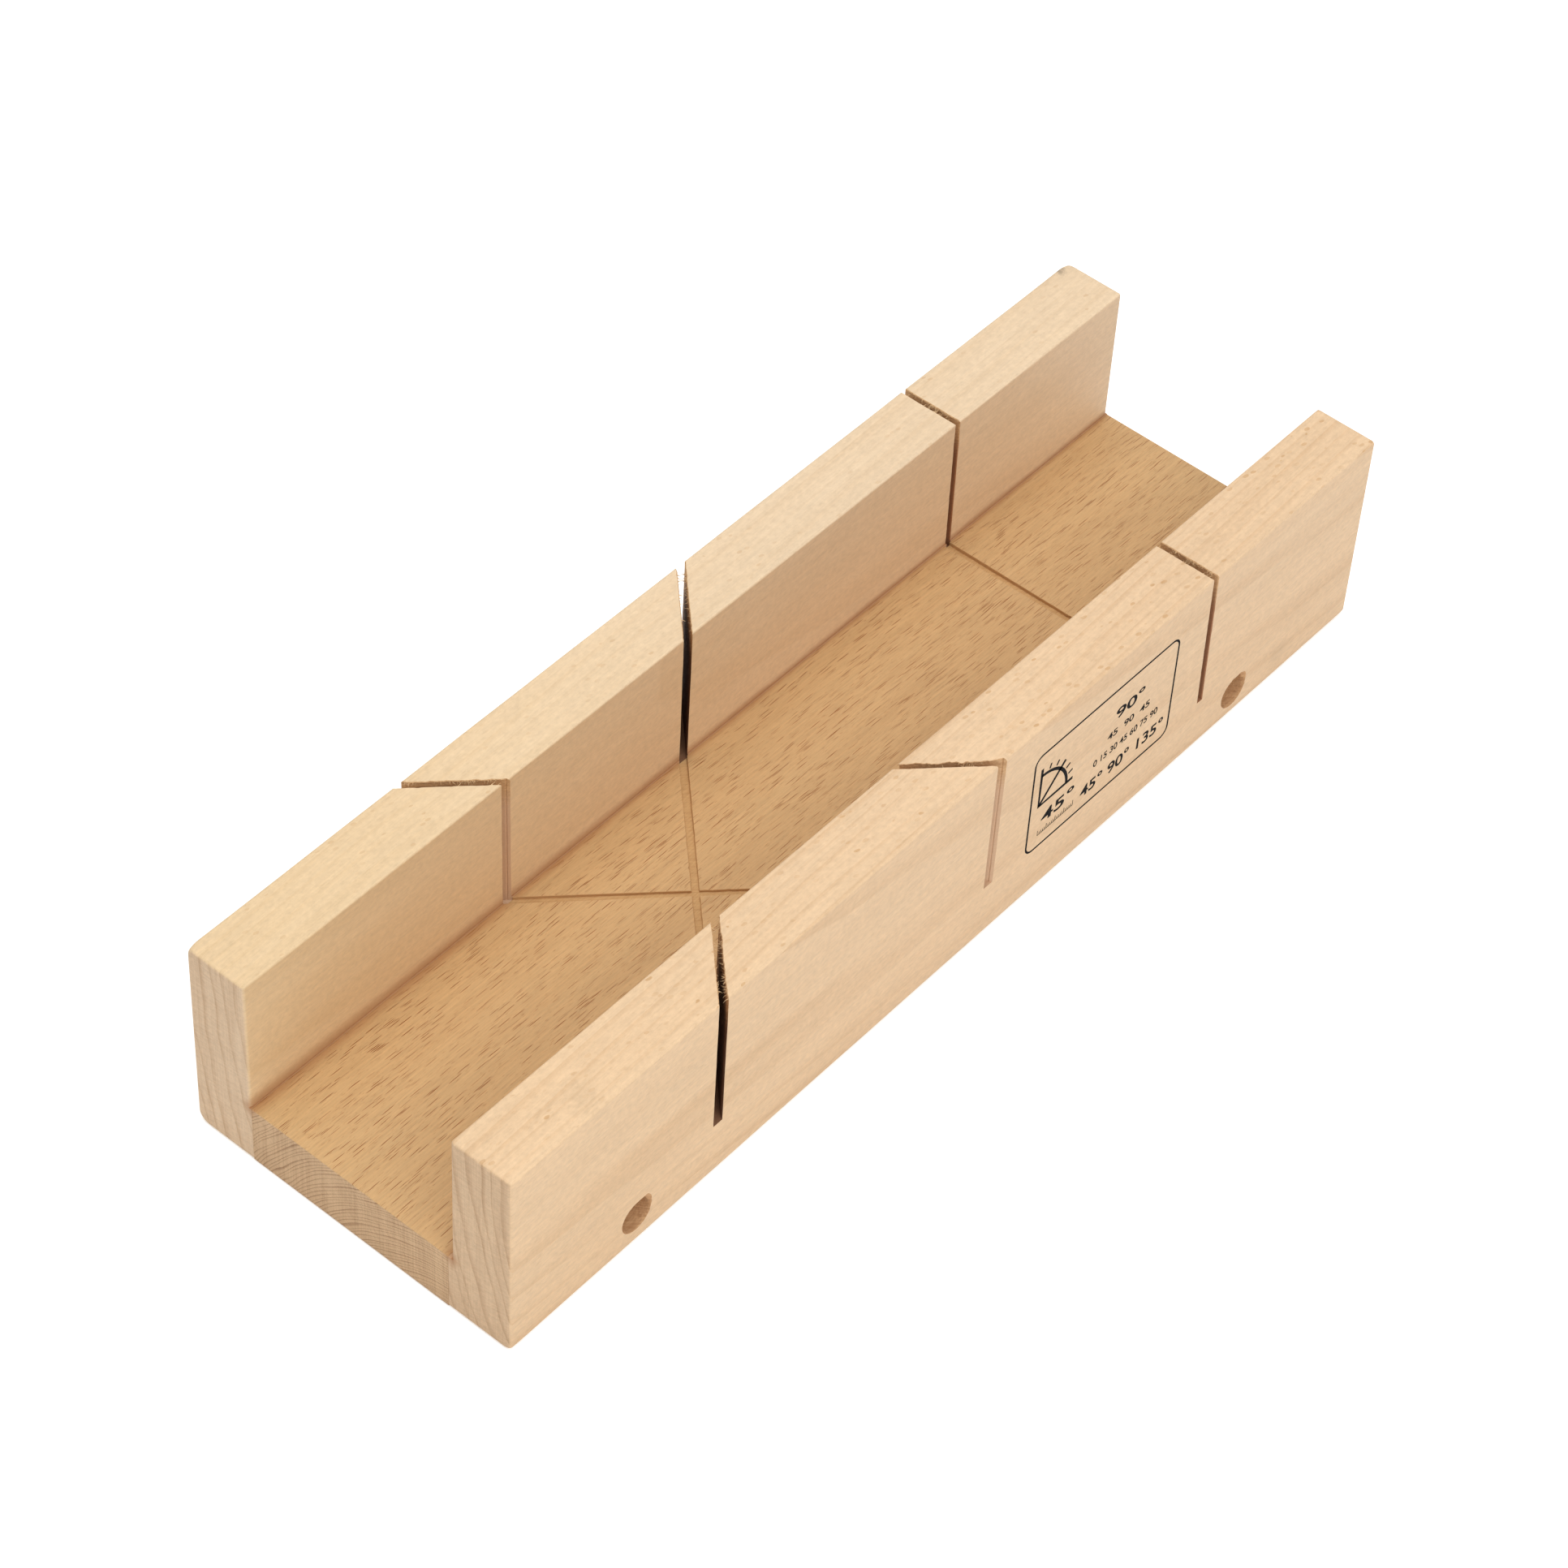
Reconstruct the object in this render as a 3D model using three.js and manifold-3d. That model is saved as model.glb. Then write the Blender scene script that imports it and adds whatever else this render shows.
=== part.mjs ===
// Mitre box for a hand saw: a long channel of three beech boards, screwed together through its walls.
// Saw slots at 90 degrees and at 45 degrees both ways run down through both walls into the base.
//
// Millimetres. +X runs along the channel, the front wall's outer face looks towards -Y, and +Z is up.
// The origin is the middle of the underside.

import * as THREE from "three";
import { mergeVertices } from "three/addons/utils/BufferGeometryUtils.js";
import Module from "manifold-3d";

const wasm = await Module();
wasm.setup();

// ---- driving dimensions ------------------------------------------------------------------------

const LENGTH = 300;
const CHANNEL_WIDTH = 59.3;
const CHANNEL_DEPTH = 39.8;
const BASE_THICKNESS = 17.5;
const WALL_THICKNESS = 16.8;
const HEIGHT = BASE_THICKNESS + CHANNEL_DEPTH;

// The channel was planed after the boards were joined, and the planer also took this much off the
// inner side of each wall. Below the floor a wall keeps its first thickness.
const FRONT_PLANED = 1.0;
const REAR_PLANED = 0.3;

// Rounded long edges of a wall.
const OUTER_TOP_RADIUS = 0.6;
const INNER_TOP_RADIUS = 0.5;
const OUTER_BOTTOM_RADIUS = 1.2;
const ROUND_STEPS = 5;

// Saw slots. crossing is where the slot crosses the channel's centre line, angle is measured from +X,
// and intoBase is how far the saw went into the floor. The slots are meant for 45 and 90 degrees, and
// are up to a degree off, as sawn.
const KERF = 1.8;
const SAW_CUTS = [
  { crossing: -38.7, angle: 45.4, intoBase: 1.1 },
  { crossing: -38.8, angle: -44.3, intoBase: 1.1 },
  { crossing: 87.0, angle: 90.5, intoBase: 2.0 },
];

// Countersunk wood screws, sunk deep into each wall at these two stations.
const SCREW_STATIONS = [
  { name: "near", x: -110.3, z: 8.7 },
  { name: "far", x: 103.0, z: 7.6 },
];
const COUNTERBORE_RADIUS = 4.5;
const COUNTERBORE_DEPTH = 9.0;
const SCREW_LENGTH = 30;
const HEAD_RADIUS = 3.9;
const HEAD_RIM = 0.4;
const SHANK_RADIUS = 2.0;
const HEAD_HEIGHT = HEAD_RIM + HEAD_RADIUS - SHANK_RADIUS;
const PLAIN_SHANK = 9.0;
const THREAD_RADIUS = 2.0;
const THREAD_CORE_RADIUS = 1.3;
const THREAD_PITCH = 1.8;
const TIP_LENGTH = 3.6;
const RECESS_SPAN = 4.2;
const RECESS_BOTTOM_SPAN = 1.4;
const RECESS_BLADE = 1.0;
const RECESS_DEPTH = 2.2;
const SCREW_CLEARANCE = 0.3;
const SCREW_SEGMENTS = 16;
const HOLE_SEGMENTS = 32;

// Extra length that lets a cutter pass clean through a face.
const OVERSHOOT = 5;
// Vertices closer than this are one vertex.
const WELD_DISTANCE = 1e-4;

// ---- solids and meshes -------------------------------------------------------------------------

function solidFrom(geometry) {
  const bare = new THREE.BufferGeometry();
  bare.setAttribute("position", geometry.getAttribute("position").clone());
  if (geometry.index) bare.setIndex(geometry.index.clone());
  const merged = mergeVertices(bare, WELD_DISTANCE);
  return new wasm.Manifold(
    new wasm.Mesh({
      numProp: 3,
      vertProperties: new Float32Array(merged.attributes.position.array),
      triVerts: new Uint32Array(merged.index.array),
    }),
  );
}

function geometryFrom(solid) {
  const { vertProperties, triVerts } = solid.getMesh();
  const indexed = new THREE.BufferGeometry();
  indexed.setAttribute("position", new THREE.BufferAttribute(vertProperties, 3));
  indexed.setIndex(new THREE.BufferAttribute(triVerts, 1));
  const faceted = indexed.toNonIndexed();
  faceted.computeVertexNormals();
  return faceted;
}

function cut(geometry, cutters) {
  let solid = solidFrom(geometry);
  for (const cutter of cutters) solid = solid.subtract(solidFrom(cutter));
  return geometryFrom(solid);
}

function named(name, geometry, material) {
  const mesh = new THREE.Mesh(geometry, material);
  mesh.name = name;
  return mesh;
}

// ---- boards ------------------------------------------------------------------------------------

// Extrudes an outline drawn in Y and Z along the whole length of the box.
function boardAlongX(outline) {
  const geometry = new THREE.ExtrudeGeometry(outline, {
    depth: LENGTH,
    bevelEnabled: false,
    curveSegments: ROUND_STEPS,
  });
  const toX = new THREE.Matrix4().makeBasis(
    new THREE.Vector3(0, 1, 0),
    new THREE.Vector3(0, 0, 1),
    new THREE.Vector3(1, 0, 0),
  );
  return geometry.applyMatrix4(toX).translate(-LENGTH / 2, 0, 0);
}

// A wall's section on the front side, with its outer face towards -Y. planed is how much thinner the
// wall is above the floor than below it.
function wallOutline(planed) {
  const inner = -CHANNEL_WIDTH / 2;
  const outer = inner - WALL_THICKNESS;
  const outline = new THREE.Shape();
  outline.moveTo(inner + planed, 0);
  outline.lineTo(inner + planed, BASE_THICKNESS);
  outline.lineTo(inner, BASE_THICKNESS);
  outline.absarc(inner - INNER_TOP_RADIUS, HEIGHT - INNER_TOP_RADIUS, INNER_TOP_RADIUS, 0, Math.PI / 2);
  outline.absarc(outer + OUTER_TOP_RADIUS, HEIGHT - OUTER_TOP_RADIUS, OUTER_TOP_RADIUS, Math.PI / 2, Math.PI);
  outline.absarc(
    outer + OUTER_BOTTOM_RADIUS,
    OUTER_BOTTOM_RADIUS,
    OUTER_BOTTOM_RADIUS,
    Math.PI,
    1.5 * Math.PI,
  );
  outline.closePath();
  return outline;
}

function baseOutline() {
  const left = -CHANNEL_WIDTH / 2 + FRONT_PLANED;
  const right = CHANNEL_WIDTH / 2 - REAR_PLANED;
  const outline = new THREE.Shape();
  outline.moveTo(left, 0);
  outline.lineTo(right, 0);
  outline.lineTo(right, BASE_THICKNESS);
  outline.lineTo(left, BASE_THICKNESS);
  outline.closePath();
  return outline;
}

// ---- saw slots ---------------------------------------------------------------------------------

function sawCutter({ crossing, angle, intoBase }) {
  const turn = THREE.MathUtils.degToRad(angle);
  const bottom = BASE_THICKNESS - intoBase;
  const top = HEIGHT + OVERSHOOT;
  const across = CHANNEL_WIDTH + 2 * WALL_THICKNESS + KERF + 2 * OVERSHOOT;
  return new THREE.BoxGeometry(across / Math.abs(Math.sin(turn)), KERF, top - bottom)
    .rotateZ(turn)
    .translate(crossing, 0, (top + bottom) / 2);
}

// ---- screws and their holes --------------------------------------------------------------------

// Both outlines below are turned about Y with the screw's head at height 0 and its tip at
// -SCREW_LENGTH. They run from the lowest point up.

// The thread is drawn as a stack of rings, one to a pitch.
function screwOutline() {
  const threadTop = -(HEAD_HEIGHT + PLAIN_SHANK);
  const threadBottom = -SCREW_LENGTH + TIP_LENGTH;
  const rings = Math.floor((threadTop - threadBottom) / THREAD_PITCH);
  const points = [new THREE.Vector2(0, -SCREW_LENGTH)];
  for (let ring = 0; ring < rings; ring++) {
    const root = threadBottom + ring * THREAD_PITCH;
    points.push(new THREE.Vector2(THREAD_CORE_RADIUS, root));
    points.push(new THREE.Vector2(THREAD_RADIUS, root + THREAD_PITCH / 2));
  }
  points.push(new THREE.Vector2(THREAD_CORE_RADIUS, threadBottom + rings * THREAD_PITCH));
  points.push(new THREE.Vector2(SHANK_RADIUS, threadTop));
  points.push(new THREE.Vector2(SHANK_RADIUS, -HEAD_HEIGHT));
  points.push(new THREE.Vector2(HEAD_RADIUS, -HEAD_RIM));
  points.push(new THREE.Vector2(HEAD_RADIUS, 0));
  points.push(new THREE.Vector2(0, 0));
  return points;
}

// Counterbore, conical seat and pilot hole in one, a clearance larger than the screw all round.
function screwHoleOutline() {
  const hole = SHANK_RADIUS + SCREW_CLEARANCE;
  const seat = HEAD_RADIUS + SCREW_CLEARANCE;
  return [
    new THREE.Vector2(0, -SCREW_LENGTH - SCREW_CLEARANCE),
    new THREE.Vector2(hole, -SCREW_LENGTH - SCREW_CLEARANCE),
    new THREE.Vector2(hole, -HEAD_HEIGHT - SCREW_CLEARANCE),
    new THREE.Vector2(seat, -HEAD_RIM - SCREW_CLEARANCE),
    new THREE.Vector2(COUNTERBORE_RADIUS, -HEAD_RIM - SCREW_CLEARANCE),
    new THREE.Vector2(COUNTERBORE_RADIUS, COUNTERBORE_DEPTH + OVERSHOOT),
    new THREE.Vector2(0, COUNTERBORE_DEPTH + OVERSHOOT),
  ];
}

// One arm of the cross recess: a blade that narrows towards the bottom of the recess.
function recessBlade() {
  const top = RECESS_SPAN / 2;
  const bottom = RECESS_BOTTOM_SPAN / 2;
  const outline = new THREE.Shape();
  outline.moveTo(-bottom, -RECESS_DEPTH);
  outline.lineTo(bottom, -RECESS_DEPTH);
  outline.lineTo(top, 0);
  outline.lineTo(top, OVERSHOOT);
  outline.lineTo(-top, OVERSHOOT);
  outline.lineTo(-top, 0);
  outline.closePath();
  const blade = new THREE.ExtrudeGeometry(outline, { depth: RECESS_BLADE, bevelEnabled: false });
  return blade.translate(0, 0, -RECESS_BLADE / 2);
}

function screwGeometry() {
  const body = new THREE.LatheGeometry(screwOutline(), SCREW_SEGMENTS);
  return cut(body, [recessBlade(), recessBlade().rotateY(Math.PI / 2)]);
}

// Moves a screw or a hole to its place. side is -1 for the front wall and 1 for the rear wall.
function placeInWall(geometry, side, { x, z }) {
  const headDepth = CHANNEL_WIDTH / 2 + WALL_THICKNESS - COUNTERBORE_DEPTH;
  if (side < 0) geometry.rotateX(Math.PI);
  return geometry.translate(x, side * headDepth, z);
}

function screwHoles(side) {
  return SCREW_STATIONS.map((station) =>
    placeInWall(new THREE.LatheGeometry(screwHoleOutline(), HOLE_SEGMENTS), side, station),
  );
}

// ---- assembly ----------------------------------------------------------------------------------

const beech = (color) => new THREE.MeshStandardMaterial({ color, roughness: 0.7, metalness: 0 });
const zincPlate = () => new THREE.MeshStandardMaterial({ color: 0xc9c4b4, roughness: 0.35, metalness: 1 });

const frontHoles = screwHoles(-1);
const rearHoles = screwHoles(1);
const sawCutters = SAW_CUTS.map(sawCutter);

const mitreBox = new THREE.Group();
mitreBox.name = "mitre_box";

const base = boardAlongX(baseOutline());
mitreBox.add(named("base_board", cut(base, [...sawCutters, ...frontHoles, ...rearHoles]), beech(0xca9d6c)));

const frontWall = boardAlongX(wallOutline(FRONT_PLANED));
mitreBox.add(named("front_wall", cut(frontWall, [...sawCutters, ...frontHoles]), beech(0xe3c29d)));

const rearWall = boardAlongX(wallOutline(REAR_PLANED)).rotateZ(Math.PI);
mitreBox.add(named("rear_wall", cut(rearWall, [...sawCutters, ...rearHoles]), beech(0xe6c8a2)));

for (const [wall, side] of [
  ["front", -1],
  ["rear", 1],
]) {
  for (const station of SCREW_STATIONS) {
    const screw = placeInWall(screwGeometry(), side, station);
    mitreBox.add(named(`screw_${wall}_${station.name}`, screw, zincPlate()));
  }
}

export default mitreBox;
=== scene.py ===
"""Looks of a beech mitre box: three planed boards with saw slots, four sunk screws and a stamped scale.

Lengths are millimetres in the row frame unless a name says otherwise: X runs along the channel, the
printed face looks towards -Y, and Z is up. MM turns them into Blender's metres.
"""

import math
import random

import bmesh
import bpy
from mathutils import Matrix, Vector, noise


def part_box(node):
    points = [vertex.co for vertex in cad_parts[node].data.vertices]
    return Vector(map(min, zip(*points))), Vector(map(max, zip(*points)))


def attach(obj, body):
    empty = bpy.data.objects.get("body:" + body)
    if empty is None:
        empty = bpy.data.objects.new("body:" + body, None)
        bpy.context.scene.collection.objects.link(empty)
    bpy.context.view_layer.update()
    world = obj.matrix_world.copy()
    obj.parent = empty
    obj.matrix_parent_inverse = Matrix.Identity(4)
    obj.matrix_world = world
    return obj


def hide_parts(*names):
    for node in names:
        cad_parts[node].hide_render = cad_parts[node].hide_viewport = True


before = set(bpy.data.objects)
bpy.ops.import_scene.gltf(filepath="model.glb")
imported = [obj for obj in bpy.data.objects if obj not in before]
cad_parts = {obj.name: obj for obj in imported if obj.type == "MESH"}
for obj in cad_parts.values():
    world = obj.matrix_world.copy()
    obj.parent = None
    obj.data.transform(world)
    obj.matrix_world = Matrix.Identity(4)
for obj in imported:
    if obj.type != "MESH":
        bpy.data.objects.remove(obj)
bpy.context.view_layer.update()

MM = 0.001


def node_box(node):
    """Lowest and highest corner of a CAD node, in millimetres."""
    low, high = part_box(node)
    return low / MM, high / MM


BASE_LOW, BASE_HIGH = node_box("base_board")
FRONT_LOW, FRONT_HIGH = node_box("front_wall")
REAR_LOW, _ = node_box("rear_wall")

HALF_LENGTH = BASE_HIGH.x
FLOOR = BASE_HIGH.z
TOP = FRONT_HIGH.z
OUTER = -FRONT_LOW.y

# Distances from the middle plane, by side: -1 is the front wall and 1 the rear wall. A wall's planed inner
# face stands back a little from its joint with the base.
FRONT_PLANED = 1.0
REAR_PLANED = 0.3
WALL_NAME = {-1: "front", 1: "rear"}
WALL_JOINT = {-1: -FRONT_HIGH.y, 1: REAR_LOW.y}
WALL_INNER = {-1: WALL_JOINT[-1] + FRONT_PLANED, 1: WALL_JOINT[1] + REAR_PLANED}

# Every board is this much smaller than its CAD solid, which leaves hairline joints and room for ink.
SKIN = 0.03
# Broken corner that sanding leaves on every cut edge.
ARRIS = 0.18

OUTER_TOP_RADIUS = 0.6
INNER_TOP_RADIUS = 0.5
OUTER_BOTTOM_RADIUS = 1.2
# How much the rounding of a long edge wanders, and over what length.
EDGE_WANDER = 0.18
WANDER_LENGTH = 22.0
ARC_STEPS = 6
# How much rounder a wall's outer edges are at its ends, by side, and over what length.
END_WEAR = {-1: 0.3, 1: 1.7}
END_WEAR_LENGTH = 3.5
END_WEAR_SLICES = 5
# Rounding of a board's end edges.
WALL_END_RADIUS = 0.8
BASE_END_RADIUS = 0.3
SLICE_LENGTH = 4.0

# Saw cuts. crossing is where a cut meets the middle plane, angle its turn from the channel, and into_base
# how far below the floor it cuts the walls, all three as in the CAD. rear, base and front are the kerf's
# width in that board: a wall's is (at the top, at the bottom), and the base's is (at the rear wall, at the
# front wall). rear_lean and front_lean are how far a wall's kerf wandered towards +X, (at the top, at the
# bottom). depth is how far the base is cut, (at the rear wall, at the front wall). burr is how far torn
# wood hangs over the kerf from its +X side, by the wall's side. The last entry is the screen colour of
# the wood deep in a wall's kerf: partly saw scorch, partly the painted shade and light of the narrow slot.
SAW_CUTS = [
    {
        "crossing": -38.7,
        "angle": 45.4,
        "into_base": 1.1,
        "rear": (2.0, 1.8),
        "rear_lean": (0.0, 0.0),
        "front": (1.85, 1.8),
        "front_lean": (0.0, 0.0),
        "base": (2.0, 1.5),
        "depth": (0.8, 0.55),
        "burr": {-1: 0.2, 1: 0.1},
        "kerf_scorch_and_shade": (112, 70, 48),
    },
    {
        "crossing": -38.8,
        "angle": -44.3,
        "into_base": 1.1,
        "rear": (1.7, 1.8),
        "rear_lean": (-0.2, 0.3),
        "front": (1.9, 1.9),
        "front_lean": (0.5, 0.2),
        "base": (1.8, 1.3),
        "depth": (0.9, 0.5),
        "burr": {-1: 1.1, 1: 0.4},
        "kerf_scorch_and_shade": (214, 178, 146),
    },
    {
        "crossing": 87.0,
        "angle": 90.5,
        "into_base": 2.0,
        "rear": (1.5, 1.5),
        "rear_lean": (0.1, 0.7),
        "front": (1.6, 1.7),
        "front_lean": (0.0, 1.0),
        "base": (1.85, 1.75),
        "depth": (1.1, 0.8),
        "burr": {-1: 0.1, 1: 0.1},
        "kerf_scorch_and_shade": (156, 102, 70),
    },
]
# Mesh spacing up a wall's kerfs, and along them. Along the base's kerfs it is half the first.
KERF_GRID = 1.4
KERF_FINE_GRID = 0.5
# How far the saw's teeth wandered, at the sides and at the bottom.
KERF_ROUGHNESS = 0.05
BOTTOM_ROUGHNESS = 0.08
# Torn wood over a kerf: how deep it goes, and the mean, spread and spacing of its unevenness.
BURR_DEPTH = 0.9
BURR_MEAN = 0.75
BURR_SPREAD = 0.6
BURR_SPACING = 1.1
# Chips out of a kerf's edges: their size, how far from the edge they reach and their spacing. A higher
# CHIP_FREE leaves more of the edge whole.
CHIP_SIZE = 0.28
CHIP_REACH = 1.0
CHIP_SPACING = 1.7
CHIP_FREE = 0.15
# How far a wall's sharpest outer corners beside a kerf are worn back, over what depth, and the inner
# corners' share of that.
CORNER_WEAR = 1.2
CORNER_WEAR_REACH = 2.2
INNER_CORNER_SHARE = 0.5

# The screws, whose stations come from the CAD screws' boxes.
COUNTERBORE_RADIUS = 4.5
COUNTERBORE_DEPTH = 9.0
HEAD_RADIUS = 3.9
HEAD_RIM = 0.4
SHANK_RADIUS = 2.0
PLAIN_SHANK = 9.0
THREAD_CORE_RADIUS = 1.3
THREAD_PITCH = 1.8
TIP_LENGTH = 3.6
RECESS_REACH = 2.1
RECESS_HALF_WIDTH = 0.5
RECESS_DEPTH = 2.2
RECESS_EDGE = 0.12
HEAD_BEVEL = 0.1
THREAD_SHARPNESS = 1.6
TIP_RADIUS = 0.02
SCREW_CLEARANCE = 0.3
HEAD_RINGS = 26
SCREW_SEGMENTS = 48
HEAD_HEIGHT = HEAD_RIM + HEAD_RADIUS - SHANK_RADIUS
# The side of the wall that each screw holds.
SCREWS = {
    "screw_front_near": -1,
    "screw_front_far": -1,
    "screw_rear_near": 1,
    "screw_rear_far": 1,
}

# Length that lets a cutter pass clean through a face.
OVERSHOOT = 3.0


# ---- mesh helpers ------------------------------------------------------------------------------


def piece_from(name, bm, materials):
    """A Blender object from a bmesh in millimetres."""
    bmesh.ops.recalc_face_normals(bm, faces=bm.faces)
    bmesh.ops.scale(bm, vec=(MM, MM, MM), verts=bm.verts)
    mesh = bpy.data.meshes.new(name)
    bm.to_mesh(mesh)
    bm.free()
    for material in materials:
        mesh.materials.append(material)
    obj = bpy.data.objects.new(name, mesh)
    bpy.context.scene.collection.objects.link(obj)
    return obj


def smooth(obj, sharp_degrees=28):
    """Smooth shading that keeps flat faces flat and edges over the angle sharp."""
    obj.data.shade_smooth()
    obj.data.set_sharp_from_angle(angle=math.radians(sharp_degrees))
    weighted = obj.modifiers.new("flat faces", "WEIGHTED_NORMAL")
    weighted.keep_sharp = True


def loft(bm, rings):
    """Joins rings of equally many points, each a closed loop, into a tube with closed ends."""
    loops = [[bm.verts.new(point) for point in ring] for ring in rings]
    for lower, upper in zip(loops, loops[1:]):
        for i in range(len(lower)):
            j = (i + 1) % len(lower)
            bm.faces.new((lower[i], lower[j], upper[j], upper[i]))
    bm.faces.new(loops[0])
    bm.faces.new(loops[-1])


def carve(obj, cutters):
    """Cuts every cutter out of obj. The new faces keep the cutters' materials."""
    for cutter in cutters:
        cut = obj.modifiers.new("cut", "BOOLEAN")
        cut.operation = "DIFFERENCE"
        cut.solver = "EXACT"
        cut.material_mode = "TRANSFER"
        cut.object = cutter
    evaluated = obj.evaluated_get(bpy.context.evaluated_depsgraph_get())
    obj.data = bpy.data.meshes.new_from_object(evaluated)
    obj.modifiers.clear()
    for cutter in cutters:
        bpy.data.objects.remove(cutter)


def steps_between(low, high, step, extra=()):
    """Evenly spaced values from low to high, with some extra ones among them."""
    count = max(1, round((high - low) / step))
    values = {low + (high - low) * i / count for i in range(count + 1)}
    values.update(value for value in extra if low < value < high)
    return sorted(values)


def mixed(a, b, share):
    return a + (b - a) * share


def ragged(*place):
    """Smooth noise between about -1 and 1 at a place given by three numbers."""
    return noise.noise(Vector(place))


def near(distance, reach):
    """1 on a plane, falling evenly to 0 at reach from it."""
    return max(0.0, 1.0 - abs(distance) / reach)


# ---- boards ------------------------------------------------------------------------------------


def arc(centre_out, centre_z, radius, start, end):
    """Points of an arc in a board's section, from start to end degrees."""
    angles = [math.radians(mixed(start, end, i / ARC_STEPS)) for i in range(ARC_STEPS + 1)]
    return [(centre_out + radius * math.cos(a), centre_z + radius * math.sin(a)) for a in angles]


def wall_section(side, x, inset):
    """A wall's section as (distance from the middle plane, height) pairs. inset draws in the open edges."""
    joint = WALL_JOINT[side] + SKIN
    inner = WALL_INNER[side] + inset
    outer = OUTER - SKIN - inset
    bottom = inset
    top = TOP - SKIN - inset
    wander = EDGE_WANDER * ragged(x / WANDER_LENGTH, side * 7.0, 0.5)
    worn = END_WEAR[side] * near(HALF_LENGTH - abs(x), END_WEAR_LENGTH) ** 2
    top_radius = OUTER_TOP_RADIUS + wander + worn
    bottom_radius = OUTER_BOTTOM_RADIUS - wander + worn
    inner_radius = INNER_TOP_RADIUS + 0.5 * wander
    return [
        (joint, bottom),
        *arc(outer - bottom_radius, bottom + bottom_radius, bottom_radius, -90, 0),
        *arc(outer - top_radius, top - top_radius, top_radius, 0, 90),
        *arc(inner + inner_radius, top - inner_radius, inner_radius, 90, 180),
        (inner, FLOOR),
        (joint, FLOOR),
    ]


def base_section(inset):
    left = BASE_LOW.y + SKIN
    right = BASE_HIGH.y - SKIN
    return [(left, inset), (right, inset), (right, FLOOR - inset), (left, FLOOR - inset)]


def board_slices(end_radius):
    """Places along X where a board's section is drawn, with how much its rounded ends draw it in."""
    end = HALF_LENGTH - SKIN
    rounding = []
    for i in range(ARC_STEPS):
        angle = math.radians(90 * i / ARC_STEPS)
        rounding.append((end - end_radius * (1 - math.cos(angle)), end_radius * (1 - math.sin(angle))))
    first = end - end_radius
    worn = [first - END_WEAR_LENGTH * (i + 1) / END_WEAR_SLICES for i in range(END_WEAR_SLICES)]
    places = steps_between(-first, first, SLICE_LENGTH, [-x for x in worn] + worn)
    near_end = [(-x, inset) for x, inset in rounding]
    return near_end + [(x, 0.0) for x in places] + rounding[::-1]


def wall_board(name, side, materials):
    bm = bmesh.new()
    loft(
        bm,
        [
            [(x, side * out, z) for out, z in wall_section(side, x, inset)]
            for x, inset in board_slices(WALL_END_RADIUS)
        ],
    )
    return piece_from(name, bm, materials)


def base_board(name, materials):
    bm = bmesh.new()
    slices = board_slices(BASE_END_RADIUS)
    loft(bm, [[(x, y, z) for y, z in base_section(inset)] for x, inset in slices])
    return piece_from(name, bm, materials)


# ---- saw cuts ----------------------------------------------------------------------------------


def kerf_axes(cut):
    """Unit vectors along and across a saw cut."""
    turn = math.radians(cut["angle"])
    return Vector((math.cos(turn), math.sin(turn), 0)), Vector((-math.sin(turn), math.cos(turn), 0))


def kerf_cutter(cut, lengths, heights, half_width, lean, material):
    """A saw blade's path as a closed body, shaped by heights(s), half_width(s, z, hand) and lean(z).

    s runs along the cut from the middle plane, and hand is -1 or 1, the kerf's two sides.
    """
    along, across = kerf_axes(cut)
    rings = []
    for s in lengths:
        profile = []
        levels = heights(s)
        for hand, order in ((-1, levels), (1, reversed(levels))):
            for z in order:
                place = along * s + across * hand * half_width(s, z, hand)
                profile.append((cut["crossing"] + lean(z) + place.x, place.y, z))
        rings.append(profile)
    bm = bmesh.new()
    loft(bm, rings)
    return piece_from("cutter", bm, [material])


def edge_chips(s, z, hand, edge_distance):
    """How much wider a kerf is where fibres broke out of its edge."""
    torn = max(0.0, ragged(s / CHIP_SPACING, z / CHIP_SPACING, 11.0 * hand) - CHIP_FREE)
    return CHIP_SIZE * torn * near(edge_distance, CHIP_REACH)


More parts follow.
